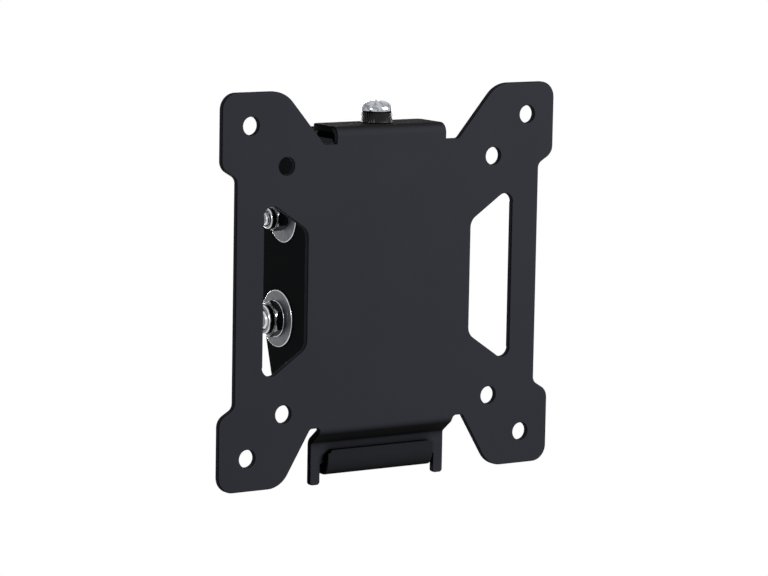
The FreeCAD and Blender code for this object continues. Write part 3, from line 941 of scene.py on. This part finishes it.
@dataclass
class StopNut:
    """Self-locking nut: a hexagon with a rolled collar over a nylon ring."""

    bolt_r: float
    flats: float
    hex_h: float
    collar_r: float
    collar_h: float
    play: float = 0.05
    foot: float = 0.35
    lip_r: float = 0.12
    chamfer: float = 0.4
    step: float = 0.02
    insert_top: float = 0.46
    insert_low: float = 1.2
    insert_depths: tuple[float, float] = (1.15, 0.2)
    insert_edge: float = 0.13
    flank_edge: float = 0.15
    flank_slope: float = 0.3
    corner_slopes: tuple[float, float] = (0.45, 0.9)

    def mesh(self) -> BMesh:
        """Make the nut along Z on its seat.

        Returns:
            The mesh in millimetres, with its insert, its rolled and turned corners and its
            flanks marked.
        """
        bm = bmesh.new()
        rim = hexagon_rings(bm, self.flats, 0, self.hex_h, (True, True))
        bore = self.bolt_r + self.play
        ring = bore + self.step
        top = self.hex_h + self.collar_h
        foot_r = self.collar_r + self.foot
        foot_top = self.hex_h + self.foot
        roll = min(0.45 * self.collar_h, 0.5 * (self.collar_r - bore))
        lip = self.collar_r - 1.35 * roll
        profile = [
            (rim, self.hex_h),
            *arc((foot_r, foot_top), self.foot, 270, 180, 3),
            *arc((self.collar_r - roll, top - roll), roll, 0, 90, 6),
            *arc((lip, top - self.lip_r), self.lip_r, 90, 180, 2),
            (lip - self.lip_r - self.step, top - self.insert_top + 2 * self.step),
            (ring, top - self.insert_top),
            (ring, top - self.insert_low),
            (bore, top - self.insert_low),
            (bore, self.chamfer),
            (bore + self.chamfer, 0),
            (rim, 0),
        ]
        spun(bm, profile, HEX_STEPS)
        closed_up(bm)
        low, high = (top - depth for depth in self.insert_depths)
        steep, flat = self.corner_slopes
        for face in bm.faces:
            middle = face.calc_center_median()
            reach = middle.xy.length
            slope = abs(face.normal.z)
            if reach < lip - self.insert_edge and low < middle.z < high:
                face.material_index = Plated.INSERT
            # Collar foot and upright sides take the dark flank zinc, a painted dark reflection.
            elif self.collar_r < reach < foot_r and middle.z < foot_top:
                face.material_index = Plated.FLANK
            elif slope < self.flank_slope and reach > lip - self.flank_edge:
                face.material_index = Plated.FLANK
            # The rolled collar's slope takes the light corner zinc, a painted highlight.
            elif steep < slope < flat and lip < reach < self.collar_r:
                face.material_index = Plated.CORNER
        return bm


@dataclass
class FlatWasher:
    """Stamped washer with a rolled outer edge and a crisp bore."""

    outer_r: float
    bore_r: float
    thickness: float = 0.7
    roll: float = 0.24
    burr: float = 0.06
    steps: int = 96

    def mesh(self) -> BMesh:
        """Make the washer along Z on its seat.

        Returns:
            The mesh in millimetres.
        """
        bm = bmesh.new()
        top = self.thickness
        profile = [
            (self.bore_r, self.burr),
            (self.bore_r + self.burr, 0),
            (self.outer_r - self.burr, 0),
            (self.outer_r, self.burr),
            *arc((self.outer_r - self.roll, top - self.roll), self.roll, 0, 90, 4),
            (self.bore_r + self.burr, top),
            (self.bore_r, top - self.burr),
        ]
        spun(bm, profile, self.steps, closed=True)
        closed_up(bm)
        paint_rim_highlight(bm, self.outer_r - self.roll, 0.0)
        return bm


@dataclass
class SpringWasher:
    """Split washer of square wire, pressed flat by its nut."""

    outer_r: float
    bore_r: float
    thickness: float
    slit_angle: float
    slit: float = 1.0
    burr: float = 0.05
    roll: float = 0.14
    steps: int = 80

    def mesh(self) -> BMesh:
        """Make the washer along Z on its seat, its slit at the slit angle from its Y axis.

        Returns:
            The mesh in millimetres.
        """
        bm = bmesh.new()
        roll = self.roll
        high = self.thickness - roll
        profile = [
            (self.bore_r, self.burr),
            (self.bore_r + self.burr, 0),
            (self.outer_r - self.burr, 0),
            (self.outer_r, self.burr),
            *arc((self.outer_r - roll, high), roll, 0, 90, 3),
            *arc((self.bore_r + roll, high), roll, 90, 180, 3),
        ]
        made = drawn(bm, profile, closed=True)
        gap = self.slit / (0.5 * (self.outer_r + self.bore_r))
        turn = 2 * math.pi - gap
        bmesh.ops.spin(bm, geom=made, cent=ORIGIN, axis=UP, angle=turn, steps=self.steps)
        fill_holes(bm)
        closed_up(bm)
        paint_rim_highlight(bm, self.outer_r - roll, high)
        turned(bm, bm.verts, math.radians(self.slit_angle) + gap / 2, "Z")
        return bm


@dataclass
class Seated:
    """One part of a stack, with the distance of its seat from the middle plane."""

    kind: str
    part: TurnedPart
    seat: float
    plate: Finish = Finish.BRIGHT_ZINC
    edge_mm: float = 0.0


@dataclass
class EarStack:
    """One bolt through an ear with what is on it, on one side of the bracket."""

    side: Side
    prefix: str
    body: Body
    point: Vector
    parts: tuple[Seated, ...]

    def build(self) -> None:
        """Set the parts on the bolt, and dress the nylon washer, which keeps its CAD mesh."""
        ending = self.side.name.lower()
        for seated in self.parts:
            piece = Piece(
                node=f"{self.prefix}_{seated.kind}_{ending}",
                process="plated",
                body=self.body,
                slot=Slot.ZINC_STEEL,
                finishes=(seated.plate, Finish.NYLON, Finish.BURNISHED, Finish.DULL_ZINC),
                edge_mm=seated.edge_mm,
            )
            place = self.point + Vector((self.side.value * seated.seat, 0, 0))
            piece.finish(seated.part.mesh(), along_x(place, self.side))
        slots = bpy.data.objects[f"{self.prefix}_friction_washer_{ending}"].data.materials
        for index in range(len(slots)):
            slots[index] = Finish.NYLON.material()


@dataclass
class Fasteners:
    """The two bolts through each ear: the pivot at the bottom and the tilt clamp at the top."""

    pivot_depth: float = -10.0
    pivot_z: float = -13.7
    tilt_depth: float = -12.495
    tilt_z: float = 18.0015
    head_seat: float = 14.95
    nut_edge: float = 0.14

    def build(self) -> None:
        """Make all four stacks."""
        for side in Side:
            self.pivot(side)
            self.clamp(side)

    def pivot(self, side: Side) -> None:
        """Make the pivot's stack, which the wall plate carries.

        Args:
            side: ear that the bolt goes through.
        """
        slit = -90.0 * side.value
        bolt = HexBolt(bolt_r=3.0, pitch=1.0, flats=10.0, head_h=4.0, length=11.4, thread_length=5.6)
        spring = SpringWasher(outer_r=5.7, bore_r=3.05, thickness=0.9, slit_angle=slit)
        nut = StopNut(bolt_r=3.0, flats=10.0, hex_h=2.3, collar_r=4.6, collar_h=2.1)
        parts = (
            Seated("bolt", bolt, self.head_seat),
            Seated("washer", FlatWasher(outer_r=8.9, bore_r=3.05), 20.05, Finish.ZINC),
            Seated("nut", nut, 21.65, edge_mm=self.nut_edge),
            Seated("spring_washer", spring, 20.75),
        )
        point = Vector((0, self.pivot_depth, self.pivot_z))
        EarStack(side, "pivot", Body.WALL, point, parts).build()

    def clamp(self, side: Side) -> None:
        """Make the tilt clamp's stack, which tilts with the carriage.

        Args:
            side: ear that the bolt goes through.
        """
        bolt = HexBolt(
            bolt_r=2.0, pitch=0.7, flats=7.0, head_h=2.8, length=12.45, thread_length=8.0, tip=0.5
        )
        nut = StopNut(bolt_r=2.0, flats=7.0, hex_h=3.7, collar_r=3.2, collar_h=2.0)
        parts = (
            Seated("bolt", bolt, self.head_seat),
            Seated("washer", FlatWasher(outer_r=7.7, bore_r=2.05), 20.0, Finish.ZINC),
            Seated("nut", nut, 20.7, edge_mm=self.nut_edge),
        )
        point = Vector((0, self.tilt_depth, self.tilt_z))
        EarStack(side, "tilt", Body.HEAD, point, parts).build()


@dataclass
class LockScrew:
    """Chrome oval-topped screw with a cross recess and a thread up to its head."""

    base: Vector
    radius: float = 2.5
    pitch: float = 0.8
    shank: float = 13.5
    tip: float = 0.6
    head_r: float = 4.95
    head_side: float = 0.65
    head_h: float = 3.3
    fullness: float = 0.85
    dome_steps: int = 14
    steps: int = 72
    overlap: float = 0.3
    lower_corner: float = 0.3
    recess_depth: float = 1.9
    recess_above: float = 0.5
    recess_top: tuple[float, float] = (4.4, 1.0)
    recess_foot: tuple[float, float] = (2.0, 0.7)
    recess_edge: float = 0.10
    rim_angle: float = 35.0
    rim_r: float = 2.6
    rim_low: float = 0.6

    def build(self) -> None:
        """Make the screw."""
        screw = self.recessed(self.head_mesh())
        rod = bmesh.new()
        threaded(rod, self.radius, self.pitch, -self.overlap, self.shank, self.tip)
        turned(rod, rod.verts, math.pi, "X")
        joined_in(screw, rod)
        chrome = (Finish.CHROME,)
        piece = Piece("lock_screw", "plated", Body.LOCK, Slot.BRIGHT_CHROME, chrome, 38.0)
        piece.finish(screw, along_z(self.base))

    def head_mesh(self) -> BMesh:
        """Make the head: flat underside, short side and a full oval top.

        Returns:
            The mesh in millimetres.
        """
        rise = self.head_h - self.head_side
        top = []
        for step in range(1, self.dome_steps):
            angle = math.radians(90 * step / self.dome_steps)
            reach = self.head_r * math.cos(angle) ** self.fullness
            top.append((reach, self.head_side + rise * math.sin(angle)))
        bm = bmesh.new()
        low = self.lower_corner
        profile = [
            (0, 0),
            *arc((self.head_r - low, low), low, -90, 0, 5),
            (self.head_r, self.head_side),
            *top,
            (0, self.head_h),
        ]
        spun(bm, profile, self.steps)
        closed_up(bm)
        return bm

    def cutter(self) -> BMesh:
        """Make the tapered cross that the recess punch leaves.

        Returns:
            The mesh in millimetres, closed.
        """
        bm = bmesh.new()
        for turn in (0.0, math.pi / 2):
            verts = bmesh.ops.create_cube(bm, size=1.0)["verts"]
            for vert in verts:
                above = vert.co.z > 0
                wide, thick = self.recess_top if above else self.recess_foot
                vert.co.x *= wide
                vert.co.y *= thick
                vert.co.z = self.head_h + (self.recess_above if above else -self.recess_depth)
            turned(bm, verts, turn, "Z")
        return bm

    def recessed(self, bm: BMesh) -> BMesh:
        """Take the cross out of the head and break its edges.

        Args:
            bm: the head's mesh, which is freed.

        Returns:
            The head with its recess.
        """
        head = new_object("recess_head", new_mesh("recess_head", bm))
        tool = new_object("recess_tool", new_mesh("recess_tool", self.cutter()))
        settings = {"operation": "DIFFERENCE", "solver": "EXACT", "use_self": True}
        modify(head, "recess", "BOOLEAN", object=tool, **settings)
        bpy.context.view_layer.update()
        graph = bpy.context.evaluated_depsgraph_get()
        result = bpy.data.meshes.new_from_object(head.evaluated_get(graph))
        made = bmesh.new()
        made.from_mesh(result)
        # A removed mesh takes its object with it.
        for passing in (head.data, tool.data, result):
            bpy.data.meshes.remove(passing)
        closed_up(made)
        rim = [
            edge
            for edge in made.edges
            if is_sharp(edge, self.rim_angle)
            and max(vert.co.xy.length for vert in edge.verts) < self.rim_r
            and min(vert.co.z for vert in edge.verts) > self.rim_low
        ]
        rounded(made, rim, self.recess_edge, 2, -1, True)
        bmesh.ops.recalc_face_normals(made, faces=made.faces)
        return made


@dataclass
class LockCollar:
    """Moulded grip sleeve with fine upright ribs under the lock screw's head."""

    base: Vector
    height: float
    radius: float = 4.8
    bore_r: float = 2.55
    bore_chamfer: float = 0.2
    shoulder: float = 0.35
    shoulder_h: float = 0.22
    rib_start: float = 0.45
    rib_depth: float = 0.12
    ribs: int = 44

    def build(self) -> None:
        """Make the sleeve."""
        bm = bmesh.new()
        high = self.height
        below_ribs = self.radius - 0.02
        edge = self.radius - self.shoulder
        flare = self.bore_r + self.bore_chamfer
        rings = []
        for radius, height in (
            (edge, 0.0),
            (below_ribs, self.shoulder_h),
            (self.radius, self.rib_start),
            (self.radius, high - self.rib_start),
            (below_ribs, high - self.shoulder_h),
            (edge, high),
            (flare, high),
            (self.bore_r, high - self.bore_chamfer),
            (self.bore_r, self.bore_chamfer),
            (flare, 0.0),
            (edge, 0.0),
        ):
            rings.append(ring_at(bm, radius, height, 4 * self.ribs))
            if radius == self.radius:
                self.press_ribs(rings[-1])
        bridged(bm, rings)
        closed_up(bm)
        grip = (Finish.GRIP,)
        piece = Piece("lock_collar", "moulded", Body.SLEEVE, Slot.BLACK_COLLAR, grip, 40.0)
        piece.finish(bm, along_z(self.base))

    def press_ribs(self, ring: Sequence) -> None:
        """Pull every second pair of a ring's vertices in to the ribs' roots."""
        for index, vert in enumerate(ring):
            if index % 4 in (2, 3):
                vert.co.xy *= (self.radius - self.rib_depth) / self.radius


@dataclass
class LockNut:
    """Plain nut tacked with three small welds under the carriage's flange."""

    seat: Vector
    flats: float = 8.0
    height: float = 4.0
    bore_r: float = 2.55
    chamfer: float = 0.4
    bead: float = 0.75
    bead_stretch: tuple[float, float, float] = (2.0, 0.9, 0.6)
    bead_out: float = 0.05
    bead_down: float = 0.45
    bead_turns: tuple[float, ...] = (30, 150, 270)

    def build(self) -> None:
        """Make the nut and its tacks."""
        bm = bmesh.new()
        rim = hexagon_rings(bm, self.flats, 0, self.height, (True, True))
        bore = [
            (rim, self.height),
            (self.bore_r + self.chamfer, self.height),
            (self.bore_r, self.height - self.chamfer),
            (self.bore_r, self.chamfer),
            (self.bore_r + self.chamfer, 0),
            (rim, 0),
        ]
        spun(bm, bore, HEX_STEPS)
        closed_up(bm)
        for turn in self.bead_turns:
            self.tack(bm, math.radians(turn))
        powder = (Finish.DEEP_POWDER,)
        piece = Piece("lock_nut", "welded", Body.HEAD, Slot.BLACK_STEEL, powder, 30.0)
        piece.finish(bm, along_z(self.seat))

    def tack(self, bm: BMesh, turn: float) -> None:
        """Add one flattened weld bead at the nut's upper edge.

        Args:
            bm: the nut's mesh in millimetres.
            turn: direction of the bead about the axis, from the Y axis.
        """
        verts = bmesh.ops.create_icosphere(bm, subdivisions=3, radius=self.bead)["verts"]
        bmesh.ops.scale(bm, verts=verts, vec=self.bead_stretch)
        outside = (0, self.flats / 2 + self.bead_out, self.height - self.bead_down)
        bmesh.ops.translate(bm, verts=verts, vec=outside)
        turned(bm, verts, turn, "Z")


@dataclass
class LockGroup:
    """The hand screw that clamps the screen plate to the carriage.

    The sleeve is drawn with a little play at both ends, so that no two faces lie in one plane.
    """

    axis: tuple[float, float] = (0.0, -32.9)
    flange_top: float = 48.5
    nut_bottom: float = 40.5
    sleeve_height: float = 3.5
    play: float = 0.03

    def build(self) -> None:
        """Make screw, sleeve and nut."""
        foot = Vector((*self.axis, self.flange_top + self.play))
        head = Vector((*self.axis, self.flange_top + self.sleeve_height))
        LockScrew(head).build()
        LockCollar(foot, self.sleeve_height - 2 * self.play).build()
        LockNut(Vector((*self.axis, self.nut_bottom))).build()


def direction(azimuth: float, elevation: float) -> Vector:
    """Direction from the bracket in degrees, with 0, 0 straight out from the wall.

    Args:
        azimuth: turn to the right.
        elevation: rise above the level.

    Returns:
        Vector of length 1.
    """
    turn = math.radians(azimuth)
    rise = math.radians(elevation)
    level = math.cos(rise)
    return Vector((math.sin(turn) * level, -math.cos(turn) * level, math.sin(rise)))


@dataclass
class Softbox:
    """One soft lamp that looks at the middle of the bracket, in degrees, metres and watts."""

    name: str
    azimuth: float
    elevation: float
    distance: float
    size: float
    power: float
    aim_depth: float = -0.02

    def build(self) -> None:
        """Place the lamp."""
        lamp = bpy.data.lights.new(self.name, "AREA")
        lamp.shape = "SQUARE"
        lamp.size = self.size
        lamp.energy = self.power
        holder = new_object(self.name, lamp)
        outward = direction(self.azimuth, self.elevation)
        holder.location = Vector((0, self.aim_depth, 0)) + outward * self.distance
        holder.rotation_mode = "QUATERNION"
        holder.rotation_quaternion = outward.to_track_quat("Z", "Y")


@dataclass
class PhotoCamera:
    """Camera where the photograph was taken from, in degrees and metres.

    It was fitted to the plate's eight round holes. The focal length is in pixels of the
    photograph, which is 768 pixels wide.
    """

    azimuth: float = -33.353
    elevation: float = 8.060
    roll: float = 1.034
    distance: float = 1.088453
    left: float = 0.001290
    down: float = 0.001500
    aim_depth: float = -0.0410
    focal_pixels: float = 3568.06
    frame_pixels: int = 768
    sensor_mm: float = 36.0

    def build(self) -> None:
        """Stand the camera up and make it the scene's."""
        azimuth = math.radians(self.azimuth)
        roll = math.radians(self.roll)
        back = direction(self.azimuth, self.elevation)
        level_right = Vector((math.cos(azimuth), math.sin(azimuth), 0))
        level_up = back.cross(level_right)
        right = math.cos(roll) * level_right + math.sin(roll) * level_up
        up = math.cos(roll) * level_up - math.sin(roll) * level_right
        place = back * self.distance - right * self.left - up * self.down
        place += Vector((0, self.aim_depth, 0))
        lens = bpy.data.cameras.new("camera")
        lens.sensor_fit = "HORIZONTAL"
        lens.sensor_width = self.sensor_mm
        lens.lens = self.focal_pixels * self.sensor_mm / self.frame_pixels
        lens.clip_start = 0.01
        lens.clip_end = 20.0
        camera = new_object("camera", lens)
        turn = Matrix((right, up, back)).transposed().to_4x4()
        camera.matrix_world = Matrix.Translation(place) @ turn
        bpy.context.scene.camera = camera


@dataclass
class Studio:
    """White surroundings, pale floor, soft lamps and the camera, in metres."""

    floor_z: float = -2.0
    floor_r: float = 2.4
    floor_near: float = 0.3
    floor_glow: float = 0.72
    ambient: float = 0.06

    def build(self) -> None:
        """Make the surroundings, floor, lamps and camera."""
        self.sky()
        self.floor()
        for box in (
            Softbox("key_box", 33.0, 28.0, distance=0.8, size=0.5, power=8.3),
            Softbox("left_box", -75.0, 12.0, distance=1.5, size=0.25, power=7.0),
            Softbox("back_box", 165.0, -5.0, distance=1.6, size=0.9, power=40.0),
            Softbox("right_box", 116.0, -3.0, distance=1.4, size=0.7, power=24.0),
        ):
            box.build()
        PhotoCamera().build()
        bpy.context.scene.view_settings.view_transform = "Standard"

    def sky(self) -> None:
        """Show white to the camera and to reflections, and less to diffuse light."""
        world = bpy.data.worlds.new("studio")
        world.use_nodes = True
        tree = world.node_tree
        tree.nodes.clear()
        light = {"Color": linear("#ffffff"), "Strength": self.seen_white(tree, self.ambient)}
        shader = add_node(tree, "Background", light)[0]
        add_node(tree, "OutputWorld", {"Surface": shader})
        bpy.context.scene.world = world

    def seen_white(self, tree: NodeTree, dim: float) -> NodeSocket:
        """Make a strength that is 1 for rays that show the surroundings.

        Args:
            tree: node tree that gets the nodes.
            dim: strength for every other ray.

        Returns:
            The strength's output.
        """
        path = add_node(tree, "LightPath")
        rays = {0: path["Is Camera Ray"], 1: path["Is Glossy Ray"]}
        shown = add_node(tree, "Math", rays, operation="ADD")[0]
        rays = {0: shown, 1: path["Is Transmission Ray"]}
        clear = add_node(tree, "Math", rays, operation="ADD", use_clamp=True)[0]
        range_of = {"Value": clear, "To Min": dim, "To Max": 1.0}
        return add_node(tree, "MapRange", range_of)["Result"]

    def floor(self) -> None:
        """Lay a pale round floor far below the bracket, which shows whiter further out."""
        bm = bmesh.new()
        bmesh.ops.create_circle(bm, cap_ends=True, radius=self.floor_r, segments=96)
        bmesh.ops.translate(bm, verts=bm.verts, vec=(0, 0, self.floor_z))
        mesh = new_mesh("floor", bm)
        material, tree, _ = patterned("pale_studio_floor")
        place = {0: add_node(tree, "TexCoord")["Object"]}
        reach = add_node(tree, "VectorMath", place, operation="LENGTH")["Value"]
        limits = {
            "Value": reach,
            "From Min": math.hypot(self.floor_z, self.floor_near),
            "From Max": math.hypot(self.floor_z, self.floor_r),
            "To Min": self.floor_glow,
            "To Max": 1.0,
        }
        pale = add_node(tree, "MapRange", limits)["Result"]
        both = {0: pale, 1: self.seen_white(tree, 0.0)}
        strength = add_node(tree, "Math", both, operation="MULTIPLY")[0]
        light = {"Color": linear("#ffffff"), "Strength": strength}
        glow = add_node(tree, "Emission", light)[0]
        matt = add_node(tree, "BsdfDiffuse", {"Color": linear("#e2e2e2")})[0]
        surface = add_node(tree, "AddShader", {0: matt, 1: glow})[0]
        add_node(tree, "OutputMaterial", {"Surface": surface})
        mesh.materials.append(material)
        floor = new_object("floor", mesh)


def main() -> None:
    """Build the bracket's looks on its frame."""
    logging.basicConfig(level=logging.INFO, format="%(name)s %(message)s")
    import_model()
    for group in (Studio(), SheetParts(), Fasteners(), LockGroup()):
        group.build()
    bpy.context.view_layer.update()


if __name__ == "__main__":
    main()
